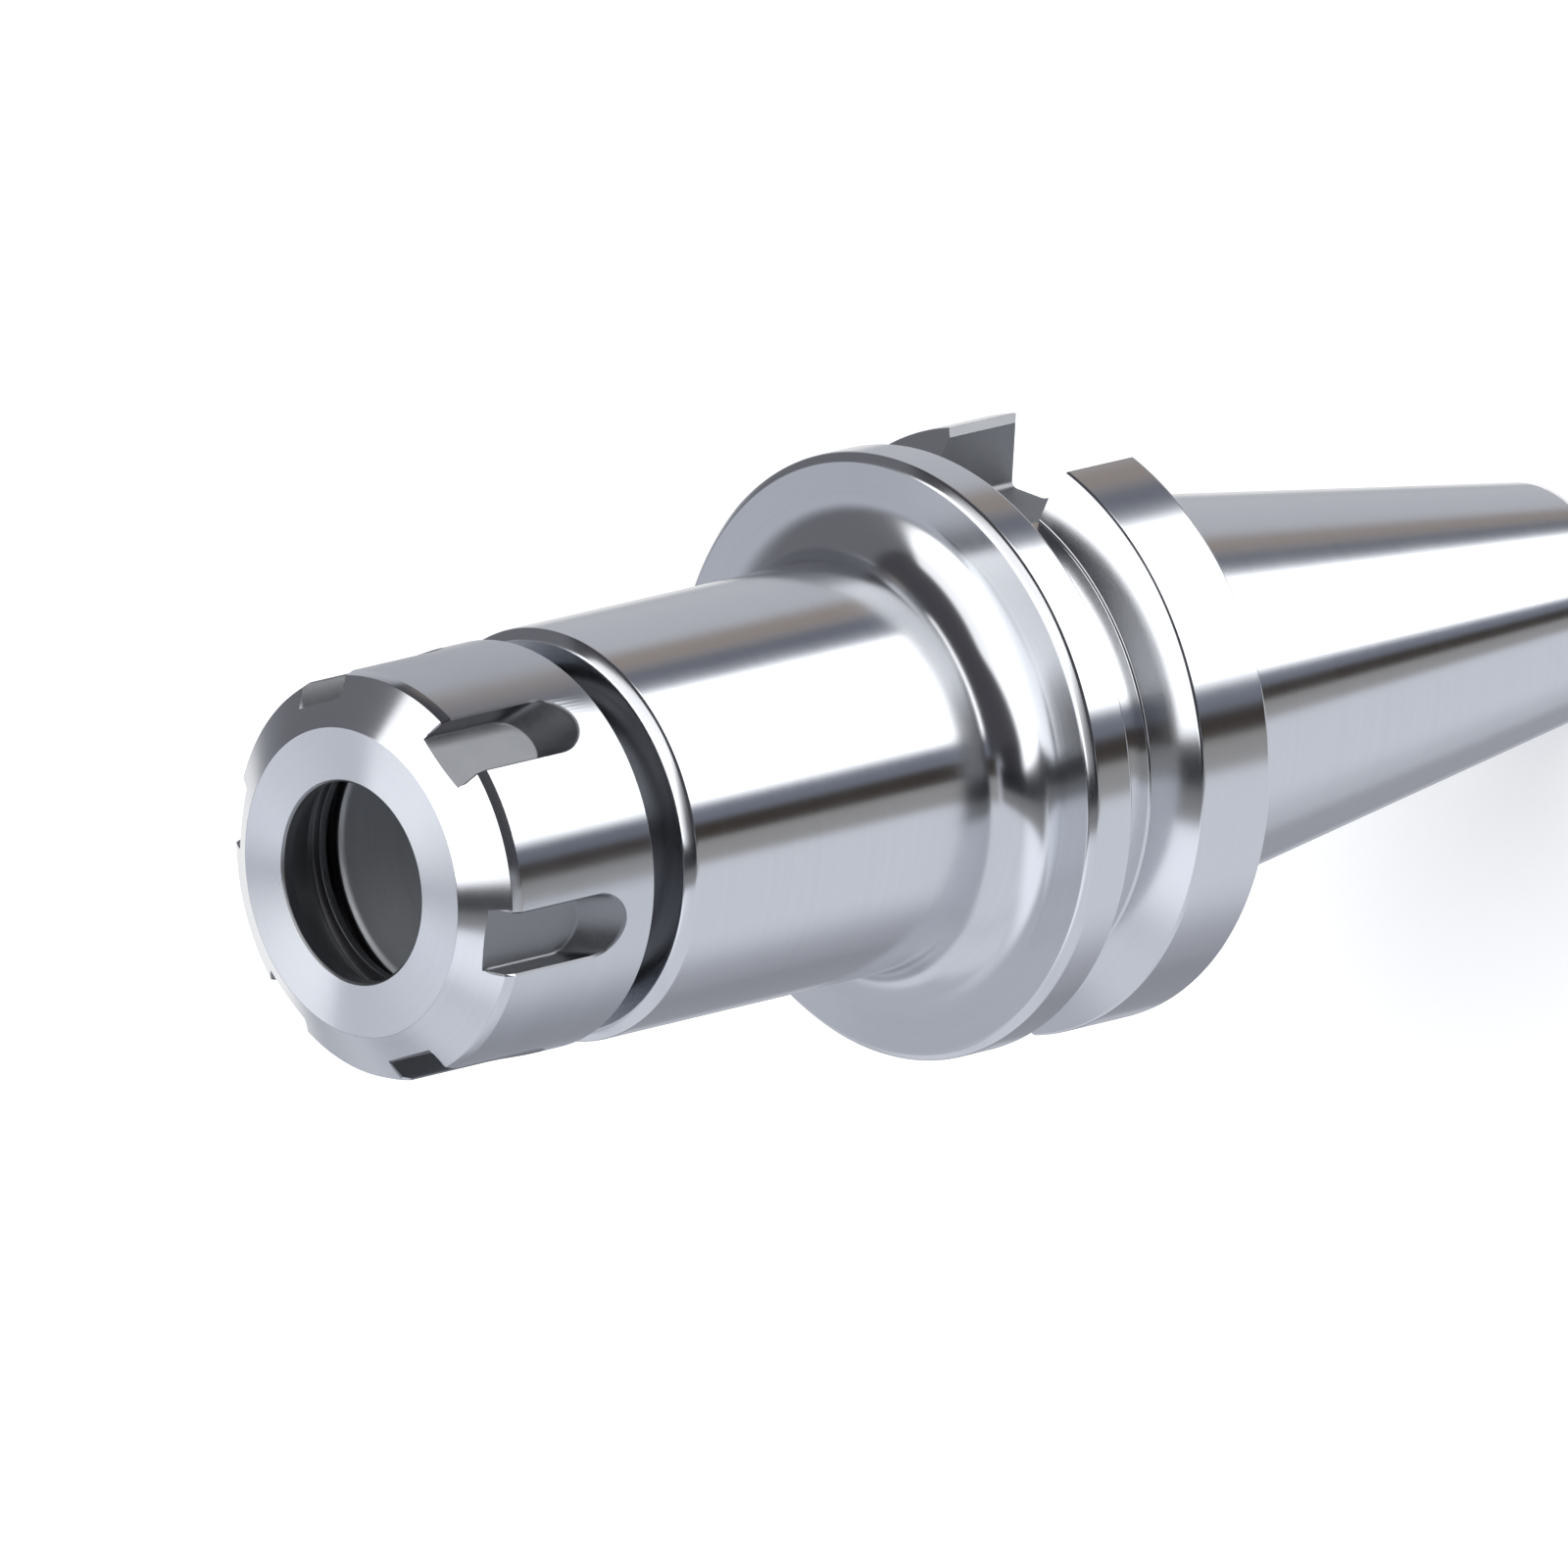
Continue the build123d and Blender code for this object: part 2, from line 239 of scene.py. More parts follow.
def helical_ridge(name, root, crest, pitch, z_from, z_to, material):
    """Thread ridge: a softened 60 degree trapezoid is carried along the right-hand helix
    (r cos a, r sin a, z_from + pitch a / 2 pi), and sinks into the wall over the last third of a turn. Its
    foot lies a little inside the wall."""
    turns = (z_to - z_from) / pitch
    steps = int(turns * TURN_STEPS)
    foot = root + 0.12 * pitch * np.sign(root - crest)
    half_foot, half_crest, corner = 0.47 * pitch, 0.07 * pitch, 0.05 * pitch
    section = softened([(foot, -half_foot), (foot, half_foot), (crest, half_crest), (crest, -half_crest)],
                       [0, 0, corner, corner])
    angle = np.linspace(0, 2 * np.pi * turns, steps)[:, None]
    run_out, least = 2 * np.pi / 3, 0.02
    fade = np.clip(np.minimum(angle, angle[-1] - angle) / run_out, 0, 1)
    r = foot + (section[:, 0][None] - foot) * (least + (1 - least) * fade)
    z = z_from + pitch * angle / (2 * np.pi) + section[:, 1][None]
    verts = np.stack([r * np.cos(angle), r * np.sin(angle), z], -1).reshape(-1, 3)
    cols = len(section)
    caps = [list(range(cols))[::-1], list(range((steps - 1) * cols, steps * cols))]
    return new_object(name, verts, grid_faces(steps, cols, wrap_rows=False), caps, material)


def cut_away(obj, cutters):
    """Cuts the cutters out of the piece for good, keeps the cutters' material on the cut faces, and
    removes the cutters."""
    group = bpy.data.collections.new(obj.name + "_cutters")
    bpy.context.scene.collection.children.link(group)
    for cutter in cutters:
        group.objects.link(cutter)
    cut = obj.modifiers.new("cut", "BOOLEAN")
    cut.operation, cut.solver, cut.operand_type = "DIFFERENCE", "EXACT", "COLLECTION"
    cut.collection = group
    cut.material_mode = "TRANSFER"
    bpy.context.view_layer.update()
    result = bpy.data.meshes.new_from_object(obj.evaluated_get(bpy.context.evaluated_depsgraph_get()))
    obj.modifiers.remove(cut)
    old, obj.data = obj.data, result
    bpy.data.meshes.remove(old)
    for cutter in list(cutters):
        bpy.data.objects.remove(cutter)
    bpy.data.collections.remove(group)


def paint(obj, material, chosen):
    """Gives the material to the faces whose middle, as distance from the axis and height, is chosen."""
    mesh = obj.data
    mesh.materials.append(material)
    count = len(mesh.polygons)
    middle, index = np.empty(3 * count), np.empty(count, np.int32)
    mesh.polygons.foreach_get("center", middle)
    mesh.polygons.foreach_get("material_index", index)
    x, y, z = middle.reshape(-1, 3).T
    index[chosen(np.hypot(x, y), z)] = len(mesh.materials) - 1
    mesh.polygons.foreach_set("material_index", index)


def finish_piece(obj, body, replaced=()):
    """Smooth shading with crisp edges, normals led by larger faces, and the piece's place in the frame."""
    obj.data.shade_smooth()
    obj.data.set_sharp_from_angle(angle=CREASE_ANGLE)
    weighted = obj.modifiers.new("weighted normals", "WEIGHTED_NORMAL")
    weighted.mode, weighted.weight, weighted.keep_sharp = "FACE_AREA", FACE_WEIGHT, True
    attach(obj, body)
    if replaced:
        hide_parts(*replaced)
    return obj


# materials

# Polishing, lapping and grinding marks lie 0.02 mm apart or closer, and a pixel of the render covers 0.16 mm
# of the part. So these rings are drawn 0.16 to 0.25 mm apart, as coarse as they need to show. The turning
# marks of the threads and hollows are drawn at their own 0.4 mm.
POLISH_RINGS, GRIND_RINGS, SOCKET_RINGS, THREAD_RINGS = 0.16 * MM, 0.2 * MM, 0.25 * MM, 0.4 * MM
# Broad bands, where the wheel or the cloth lingered, are this many rings wide and this share of the marks.
BAND_RINGS, BAND_SHARE = 9, 0.35
# Stains left by handling and wiping are about half a finger tip wide.
HAND_STAIN = 8.3 * MM
# A finishing end mill leaves steps 0.24 mm apart along the slot, 2 microns deep, in sweeps 1.1 mm long, and
# dull spots 3.3 mm wide. They darken the colour by up to this share.
MILL_STEP, MILL_SWEEP, MILL_SPOT, MILL_DEPTH = 0.24 * MM, 1.1 * MM, 3.3 * MM, 2 * MICRON
MILL_TONE = 0.12
# How much the roughness varies up and down, as a share of itself.
RING_WEAR, MILL_WEAR = 0.12, 0.15
# The usual range of a noise, and of the sum of two noises.
NOISE_LOW, NOISE_HIGH, SUM_LOW, SUM_HIGH = 0.25, 0.75, 0.6, 1.4
# A turn of a quarter puts the highlight's long axis across the tangent.
ACROSS = 0.25


def ring_material(name, base, roughness, anisotropic, ring_pitch, ring_depth, tone, metallic=1.0):
    """Steel whose fine marks run round the axis. The marks are noise on the pair (distance from the axis,
    height), so each is a ring; the highlight is drawn out across them."""
    material = bpy.data.materials.new(name)
    material.use_nodes = True
    tree = material.node_tree
    tree.nodes.clear()
    place = add(tree, "ShaderNodeTexCoord").outputs["Object"]
    part = add(tree, "ShaderNodeSeparateXYZ", {0: place}).outputs
    flat = add(tree, "ShaderNodeCombineXYZ", {0: part[0], 1: part[1]}).outputs[0]
    radius = add(tree, "ShaderNodeVectorMath", {0: flat}, operation="LENGTH").outputs["Value"]
    ring = add(tree, "ShaderNodeCombineXYZ", {0: radius, 1: part[2]}).outputs[0]
    ring = add(tree, "ShaderNodeVectorMath", {0: ring, "Scale": 1 / ring_pitch}, operation="SCALE").outputs[0]
    lines = add(tree, "ShaderNodeTexNoise", {"Vector": ring, "Scale": 1.0, "Detail": 3.0, "Roughness": 0.7},
                noise_dimensions="2D").outputs[0]
    broad = add(tree, "ShaderNodeVectorMath", {0: ring, "Scale": 1 / BAND_RINGS}, operation="SCALE")
    bands = add(tree, "ShaderNodeTexNoise", {"Vector": broad.outputs[0], "Scale": 1.0, "Detail": 2.0},
                noise_dimensions="2D").outputs[0]
    stains = add(tree, "ShaderNodeTexNoise", {"Vector": place, "Scale": 1 / HAND_STAIN, "Detail": 3.0})
    marks = add(tree, "ShaderNodeMix", {0: BAND_SHARE, 2: lines, 3: bands}).outputs[0]
    shade = add(tree, "ShaderNodeMapRange", {0: marks, 1: NOISE_LOW, 2: NOISE_HIGH, 3: 1 - tone,
                                             4: 1.0}).outputs[0]
    tint = add(tree, "ShaderNodeMix", {0: 1.0, 6: (*base, 1.0), 7: shade}, data_type="RGBA",
               blend_type="MULTIPLY").outputs[2]
    worn = add(tree, "ShaderNodeMath", {0: marks, 1: stains.outputs[0]}, operation="ADD").outputs[0]
    rough = add(tree, "ShaderNodeMapRange", {0: worn, 1: SUM_LOW, 2: SUM_HIGH, 3: roughness * (1 - RING_WEAR),
                                             4: roughness * (1 + RING_WEAR)}).outputs[0]
    bump = add(tree, "ShaderNodeBump", {"Height": lines, "Strength": 1.0, "Distance": ring_depth}).outputs[0]
    # the tangent (-y, x, 0) runs round the axis
    minus_y = add(tree, "ShaderNodeMath", {0: part[1], 1: -1.0}, operation="MULTIPLY").outputs[0]
    around = add(tree, "ShaderNodeCombineXYZ", {0: minus_y, 1: part[0]}).outputs[0]
    around = add(tree, "ShaderNodeVectorTransform", {0: around}, vector_type="VECTOR",
                 convert_from="OBJECT", convert_to="WORLD").outputs[0]
    around = add(tree, "ShaderNodeVectorMath", {0: around}, operation="NORMALIZE").outputs[0]
    steel = add(tree, "ShaderNodeBsdfPrincipled", {
        "Base Color": tint, "Metallic": metallic, "Roughness": rough, "Anisotropic": anisotropic,
        "Anisotropic Rotation": ACROSS, "Tangent": around, "Normal": bump})
    add(tree, "ShaderNodeOutputMaterial", {0: steel.outputs[0]})
    return material


def milled_material(name, base, roughness):
    """Milled tool steel: noise drawn out across the slot makes faint cutter sweeps, over duller spots."""
    material = bpy.data.materials.new(name)
    material.use_nodes = True
    tree = material.node_tree
    tree.nodes.clear()
    place = add(tree, "ShaderNodeTexCoord").outputs["Object"]
    per_metre = (1 / MILL_SWEEP, 1 / MILL_SWEEP, 1 / MILL_STEP)
    stretched = add(tree, "ShaderNodeMapping", {0: place, 3: per_metre}).outputs[0]
    sweeps = add(tree, "ShaderNodeTexNoise", {"Vector": stretched, "Scale": 1.0, "Detail": 3.0}).outputs[0]
    spots = add(tree, "ShaderNodeTexNoise", {"Vector": place, "Scale": 1 / MILL_SPOT, "Detail": 4.0})
    both = add(tree, "ShaderNodeMath", {0: sweeps, 1: spots.outputs[0]}, operation="ADD").outputs[0]
    shade = add(tree, "ShaderNodeMapRange", {0: both, 1: SUM_LOW, 2: SUM_HIGH, 3: 1 - MILL_TONE,
                                             4: 1.0}).outputs[0]
    tint = add(tree, "ShaderNodeMix", {0: 1.0, 6: (*base, 1.0), 7: shade}, data_type="RGBA",
               blend_type="MULTIPLY").outputs[2]
    rough = add(tree, "ShaderNodeMapRange", {0: both, 1: SUM_LOW, 2: SUM_HIGH, 3: roughness * (1 - MILL_WEAR),
                                             4: roughness * (1 + MILL_WEAR)}).outputs[0]
    bump = add(tree, "ShaderNodeBump", {"Height": sweeps, "Strength": 1.0, "Distance": MILL_DEPTH}).outputs[0]
    steel = add(tree, "ShaderNodeBsdfPrincipled", {
        "Base Color": tint, "Metallic": 1.0, "Roughness": rough, "Normal": bump})
    add(tree, "ShaderNodeOutputMaterial", {0: steel.outputs[0]})
    return material


def polished_steel():
    """Hardened tool steel, hard turned and polished. It gives the eye long stripes of the room that run along
    the body with clean edges, slightly softened along their length."""
    looks = bpy.context.scene.steel_looks
    return bpy.data.materials.get("polished_tool_steel_turned") or ring_material(
        "polished_tool_steel_turned", looks.polished, looks.polished_roughness, anisotropic=0.5,
        ring_pitch=POLISH_RINGS, ring_depth=0.2 * MICRON, tone=0.05)


def ground_steel():
    """Nut steel, turned and finely ground. It gives the eye a satin shine, softer edged than the body's."""
    looks = bpy.context.scene.steel_looks
    return bpy.data.materials.get("ground_nut_steel_turned") or ring_material(
        "ground_nut_steel_turned", looks.ground, looks.ground_roughness, anisotropic=0.95,
        ring_pitch=GRIND_RINGS, ring_depth=0.4 * MICRON, tone=0.08)


def lapped_steel_with_sheen():
    """Nut steel, flat by lapping on the front face. Its satin rings open the highlights into fans, over a
    faint even haze, which is why it is a little less metallic than the rest. Its colour is the nut steel's
    colour made lighter, a painted sheen for the light on the face."""
    looks = bpy.context.scene.steel_looks
    return bpy.data.materials.get("lapped_nut_face_with_sheen") or ring_material(
        "lapped_nut_face_with_sheen", looks.face_with_sheen, roughness=0.29, anisotropic=1.0,
        ring_pitch=GRIND_RINGS, ring_depth=0.6 * MICRON, tone=0.08, metallic=0.82)


def cone_steel():
    """Nut steel, turned with a fine feed on the front cone. It stays brighter and crisper than the face."""
    looks = bpy.context.scene.steel_looks
    return bpy.data.materials.get("bright_turned_nut_steel") or ring_material(
        "bright_turned_nut_steel", looks.polished, roughness=0.17, anisotropic=0.5,
        ring_pitch=GRIND_RINGS, ring_depth=0.3 * MICRON, tone=0.06)


def faced_steel():
    """Tool steel, faced on the lathe at the front of the flange. Its rings draw the highlights out towards
    the rim and the body, so the dark and bright patches look like sectors."""
    looks = bpy.context.scene.steel_looks
    return bpy.data.materials.get("faced_flange_steel") or ring_material(
        "faced_flange_steel", looks.polished, roughness=0.17, anisotropic=0.9,
        ring_pitch=POLISH_RINGS, ring_depth=0.3 * MICRON, tone=0.05)


def socket_steel():
    """Tool steel, internally ground in the collet socket. It gives the eye a matt grey that scatters what
    light comes in through the nut."""
    looks = bpy.context.scene.steel_looks
    return bpy.data.materials.get("ground_socket_steel") or ring_material(
        "ground_socket_steel", looks.ground, roughness=0.5, anisotropic=0.5,
        ring_pitch=SOCKET_RINGS, ring_depth=1.0 * MICRON, tone=0.12, metallic=0.8)


def painted_shade_steel():
    """Turned steel in the threads, the hidden hollows, the nut's mouth and the nose face. Its darker colour
    is painted shade for the little light there. It looks dark and dull, with coarse turning rings."""
    looks = bpy.context.scene.steel_looks
    return bpy.data.materials.get("painted_shade_thread_steel") or ring_material(
        "painted_shade_thread_steel", looks.painted_shade, roughness=0.35, anisotropic=0.3,
        ring_pitch=THREAD_RINGS, ring_depth=2.0 * MICRON, tone=0.2)


def milled_steel():
    """Tool steel, end milled in the slots of both pieces. It scatters more light, so it looks greyer and more
    even than the turned steel round it."""
    looks = bpy.context.scene.steel_looks
    return bpy.data.materials.get("milled_slot_steel") or milled_material(
        "milled_slot_steel", looks.milled, looks.milled_roughness)


# the pieces

# Flange: heights from the gauge plane, and the groove's width and lean. Taper: slope of the 7/24 cone's side.
FLANGE_REAR, FLANGE_FRONT = 2.0 * MM, 27.0 * MM
GROOVE_CENTRE, GROOVE_MOUTH, GROOVE_LEAN = 16.6 * MM, 10.0 * MM, math.radians(30)
TAPER_SLOPE = 7 / 48
# Hidden bores: radii, the socket's lean, the heights where they end, the pitch of the stud's thread, and how
# far the 118 degree point of a drill runs on for each unit of radius.
SOCKET_R, SOCKET_LEAN = 13.0 * MM, math.radians(8)
SHANK_BORE_R, SHANK_BORE_END = 9.0 * MM, 20.0 * MM
COOLANT_R = 5.0 * MM
STUD_ROOT_R, STUD_CREST_R, STUD_PITCH, STUD_HOLE_END = 8.0 * MM, 6.92 * MM, 2.0 * MM, -29.0 * MM
PILOT_R, PILOT_DEPTH = 8.5 * MM, 7.0 * MM
DRILL_POINT = math.tan(math.radians(31))
# Thread between nose and nut, and the plain length before and after the thread on the nose, for the stud and
# in the nut.
NOSE_ROOT_R, NOSE_CREST_R = 14.73 * MM, 15.48 * MM
NUT_ROOT_R, NUT_CREST_R = 16.35 * MM, 15.545 * MM
THREAD_PITCH = 1.5 * MM
NOSE_PLAIN, STUD_PLAIN, NUT_PLAIN = (2.6 * MM, 1.0 * MM), (8.8 * MM, 1.6 * MM), (0.9 * MM, 0.3 * MM)
# Broken edges of the holder, each at 45 degrees. The groove's lips follow its flanks.
SMALL_END_BREAK, GAUGE_RELIEF, REAR_BREAK, FRONT_BREAK = 0.5 * MM, 0.6 * MM, 0.4 * MM, 0.8 * MM
GROOVE_LIP, SHOULDER_BREAK, NOSE_BREAK, SOCKET_BREAK = 0.15 * MM, 1.0 * MM, 0.34 * MM, 0.5 * MM
PILOT_BREAK = 0.6 * MM
# Drive slots: where they end, their end corners, the round along their floor, and their broken edges.
SLOT_END, SLOT_CORNER, SLOT_FLOOR_ROUND, SLOT_BREAK = 21.0 * MM, 2.5 * MM, 0.8 * MM, 1.0 * MM
# Nut: fall of the front cone for each unit of radius, the slim polished band beyond it, the mouth, and the
# rear edges. Every corner is softened by the last value.
CONE_FALL = 0.65
BAND_RISE, BAND_LENGTH = 0.35 * MM, 1.1 * MM
MOUTH_BREAK, MOUTH_LAND = 0.25 * MM, 1.4 * MM
NUT_REAR_BREAK, NUT_BORE_BREAK, NUT_SOFT = 0.4 * MM, 0.8 * MM, 0.045 * MM
# Inside of the nut: 30 degree collet cone, pocket for the collet's collar, and the extracting lip, whose eye
# lies off the axis.
COLLET_CONE_R, COLLET_LEAN = 12.75 * MM, math.radians(30)
POCKET_R, POCKET_LENGTH = 13.3 * MM, 1.2 * MM
LIP_EYE_R, LIP_LENGTH, LIP_OFF_AXIS = 12.3 * MM, 0.9 * MM, 0.5 * MM
THREAD_RELIEF = 2.2 * MM
# Spanner slots: angle of the first one at rest, where the round end starts at the floor, how far the end
# leans back for each unit that it climbs, and the corner along the floor.
FIRST_SLOT = math.radians(25.7)
SPANNER_END, SPANNER_LEAN, SPANNER_CORNER = 8.3 * MM, 4.2 / 2.7, 0.15 * MM
# Cutters stand this far out of the steel, and heights closer than the second value are the same.
CLEAR, SAME = 1.0 * MM, 0.001 * MM


def holder_outline(s):
    """Closed outline (r, z) of the body, up the outside and down the inside, and its corner breaks. With f
    the fillet's radius, the fillet is the quarter circle (body + f + f cos t, front + f + f sin t)."""
    gauge, flange, body = s.gauge_dia / 2, s.flange_dia / 2, s.body_dia / 2
    floor = s.groove_floor_dia / 2
    flank = math.tan(GROOVE_LEAN)
    run, lip_run = (flange - floor) * flank, GROOVE_LIP * flank
    low, high = GROOVE_CENTRE - GROOVE_MOUTH / 2, GROOVE_CENTRE + GROOVE_MOUTH / 2
    small = -s.taper_len
    small_r = gauge + TAPER_SLOPE * (small + SMALL_END_BREAK)
    neck = gauge - GAUGE_RELIEF
    t = np.radians(np.linspace(270, 180, 25))
    fillet = np.stack([body + s.body_fillet + s.body_fillet * np.cos(t),
                       FLANGE_FRONT + s.body_fillet + s.body_fillet * np.sin(t)], 1)
    below_fillet = [
        (small_r - SMALL_END_BREAK, small), (small_r, small + SMALL_END_BREAK), (gauge, 0),
        (neck, GAUGE_RELIEF), (neck, FLANGE_REAR),
        (flange - REAR_BREAK, FLANGE_REAR), (flange, FLANGE_REAR + REAR_BREAK),
        (flange, low - GROOVE_LIP), (flange - GROOVE_LIP, low + lip_run),
        (floor, low + run), (floor, high - run),
        (flange - GROOVE_LIP, high - lip_run), (flange, high + GROOVE_LIP),
        (flange, FLANGE_FRONT - FRONT_BREAK), (flange - FRONT_BREAK, FLANGE_FRONT),
    ]
    above_fillet = [
        (body, s.shoulder - SHOULDER_BREAK), (body - SHOULDER_BREAK, s.shoulder), (NOSE_ROOT_R, s.shoulder),
        (NOSE_ROOT_R, s.nose - NOSE_BREAK), (NOSE_ROOT_R - NOSE_BREAK, s.nose),
    ]
    socket_top = s.nose - SOCKET_BREAK
    inside = [
        (SOCKET_R + SOCKET_BREAK, s.nose), (SOCKET_R, socket_top),
        (SHANK_BORE_R, socket_top - (SOCKET_R - SHANK_BORE_R) / math.tan(SOCKET_LEAN)),
        (SHANK_BORE_R, SHANK_BORE_END),
        (COOLANT_R, SHANK_BORE_END - (SHANK_BORE_R - COOLANT_R) * DRILL_POINT),
        (COOLANT_R, STUD_HOLE_END + (STUD_ROOT_R - COOLANT_R) * DRILL_POINT), (STUD_ROOT_R, STUD_HOLE_END),
        (STUD_ROOT_R, small + PILOT_DEPTH + PILOT_R - STUD_ROOT_R), (PILOT_R, small + PILOT_DEPTH),
        (PILOT_R, small + PILOT_BREAK), (PILOT_R + PILOT_BREAK, small),
    ]
    points = below_fillet + fillet.tolist() + above_fillet + inside
    breaks = np.full(len(points), s.edge_break)
    breaks[len(below_fillet):len(below_fillet) + len(fillet)] = 0
    return points, breaks


def slot_ring(half, end, corner, start, spread):
    """Outline (y, z) of a slot with round end corners, spread outwards by the given distance: two straight
    sides from the open rear, joined at the end by quarter circles of the corner radius."""
    t = np.radians(np.linspace(0, 90, 9))
    corner = corner + spread
    y = np.concatenate([[half + spread], half + spread - corner + corner * np.cos(t)])
    z = np.concatenate([[start], end + spread - corner + corner * np.sin(t)])
    return np.stack([np.concatenate([y, -y[::-1]]), np.concatenate([z, z[::-1]])], 1)


def drive_slot_cutters(s, side):
    """Three solids for one drive slot: the slot's rings from its floor outwards, whose first rings spread
    by a quarter circle that rounds the floor, the V of its broken outer edges, and the break of its rear
    edge."""
    half, floor, flange = s.slot_width / 2, s.slot_floor, s.flange_dia / 2
    start, outside = FLANGE_REAR - CLEAR, flange + 3 * CLEAR
    t = np.radians(np.linspace(0, 90, 7))
    depth = np.concatenate([floor + SLOT_FLOOR_ROUND * (1 - np.cos(t)), [outside]])
    spread = np.concatenate([-SLOT_FLOOR_ROUND * (1 - np.sin(t)), [0.0]])
    slot = []
    for x, e in zip(depth, spread):
        yz = slot_ring(half, SLOT_END, SLOT_CORNER, start, e)
        slot.append(np.column_stack([np.full(len(yz), x), yz]))
    mouth = math.sqrt(flange ** 2 - half ** 2) - SLOT_BREAK
    reach = flange + 2 * CLEAR
    wide = half + reach - mouth
    v_edge = np.array([(mouth, -half), (mouth, half), (reach, wide), (reach, -wide)])
    vee = [np.column_stack([v_edge, np.full(4, z)]) for z in (start, GROOVE_CENTRE)]
    rear = []
    for z, e in ((start, SLOT_BREAK + CLEAR), (FLANGE_REAR + SLOT_BREAK, 0.0)):
        x0, x1, w = floor - e, outside + e, half + e
        rear.append([(x0, -w, z), (x1, -w, z), (x1, w, z), (x0, w, z)])
    solids = []
    for name, shape in (("slot", slot), ("vee", vee), ("rear", rear)):
        shape = np.asarray(shape, float)
        shape[..., :2] *= side
        solids.append(stacked(f"cut_{name}_{side}", shape, milled_steel()))
    return solids


class MESH_OT_holder_body(bpy.types.Operator):
    """Turn the holder body and mill its two drive slots"""
    bl_idname = "mesh.holder_body"
    bl_label = "Holder Body"

    def execute(self, context):
        s = context.scene.holder_sizes
        points, breaks = holder_outline(s)
        body = turned("holder_body_turned", softened(points, breaks), material=polished_steel())
        cut_away(body, drive_slot_cutters(s, 1) + drive_slot_cutters(s, -1))
        behind_nut, nose_face = s.shoulder + 0.02 * MM, s.nose - 0.1 * MM
        thread_in, thread_out = NOSE_ROOT_R - 0.28 * MM, NOSE_ROOT_R + 0.07 * MM
        socket_rim = SOCKET_R + 0.45 * MM
        # Painted shade: the nose's thread behind the nut and the nose face get the darker steel colour.
        paint(body, painted_shade_steel(), lambda r, z: (z > behind_nut) & (r > thread_in) & (r < thread_out))
        paint(body, painted_shade_steel(), lambda r, z: (z > nose_face) & (r < thread_out))
        paint(body, faced_steel(), lambda r, z: (abs(z - FLANGE_FRONT) < SAME) & (r > s.body_dia / 2))
        paint(body, socket_steel(), lambda r, z: (z > SHANK_BORE_END) & (z < nose_face) & (r < socket_rim))
        finish_piece(body, "holder", ("holder_body",))
        # Painted shade: the nose thread's ridge has the darker steel colour; the drawbar thread stays
        # polished.
        ridges = [
            helical_ridge("nose_thread", NOSE_ROOT_R, NOSE_CREST_R, THREAD_PITCH,
                          s.shoulder + NOSE_PLAIN[0], s.nose - NOSE_PLAIN[1], painted_shade_steel()),
            helical_ridge("drawbar_thread", STUD_ROOT_R, STUD_CREST_R, STUD_PITCH,
                          -s.taper_len + STUD_PLAIN[0], STUD_HOLE_END - STUD_PLAIN[1], polished_steel()),
        ]
        for ridge in ridges:
            finish_piece(ridge, "holder")
        return {"FINISHED"}


def nut_edge(s):
    """Radius and height where the nut's front cone meets the slim band: the cone falls from the face ring by
    CONE_FALL for each unit of radius, up to BAND_RISE inside the outside."""
    r = s.nut_dia / 2 - BAND_RISE
    return r, s.face - CONE_FALL * (r - s.cone_inner_dia / 2)


def nut_outline(s):
    """Closed outline (r, z) of the nut, up the outside and down the inside, each point's distance off the
    axis, and the height where the thread ends."""
    outer, ring, mouth = s.nut_dia / 2, s.cone_inner_dia / 2, s.mouth_dia / 2
    edge_r, edge_z = nut_edge(s)
    cone_top = s.face - MOUTH_LAND
    cone_end = cone_top - (COLLET_CONE_R - mouth) / math.tan(COLLET_LEAN)
    pocket = cone_end - POCKET_LENGTH
    lip_end = pocket - LIP_LENGTH
    points = np.array([
        (outer - NUT_REAR_BREAK, s.rear), (outer, s.rear + NUT_REAR_BREAK),
        (outer, edge_z - BAND_LENGTH), (edge_r, edge_z), (ring, s.face),
        (mouth + MOUTH_BREAK, s.face), (mouth, s.face - MOUTH_BREAK), (mouth, cone_top),
        (COLLET_CONE_R, cone_end), (POCKET_R, cone_end), (POCKET_R, pocket),
        (LIP_EYE_R, pocket), (LIP_EYE_R, lip_end), (NUT_ROOT_R, lip_end),
        (NUT_ROOT_R, s.rear + NUT_BORE_BREAK), (NUT_ROOT_R + NUT_BORE_BREAK, s.rear),
    ])
    off_axis = np.where(points[:, 0] == LIP_EYE_R, LIP_OFF_AXIS, 0.0)
    return points, off_axis, lip_end - THREAD_RELIEF


def nut_surface(s, y, z):
    """How far out the nut's outside lies along a slot's middle line, at y beside the line and height z. It
    is sqrt(R(z)^2 - y^2), where the outside radius R falls along the band and then along the front cone."""
    edge_r, edge_z = nut_edge(s)
    cone = s.cone_inner_dia / 2 + (s.face - z) / CONE_FALL
    band = np.maximum(edge_r + (edge_z - z) * BAND_RISE / BAND_LENGTH, edge_r)
    least_r, least_square = 8 * MM, 1e-8
    r = np.clip(np.minimum(cone, band), least_r, s.nut_dia / 2)
    return np.sqrt(np.maximum(r ** 2 - y ** 2, least_square))


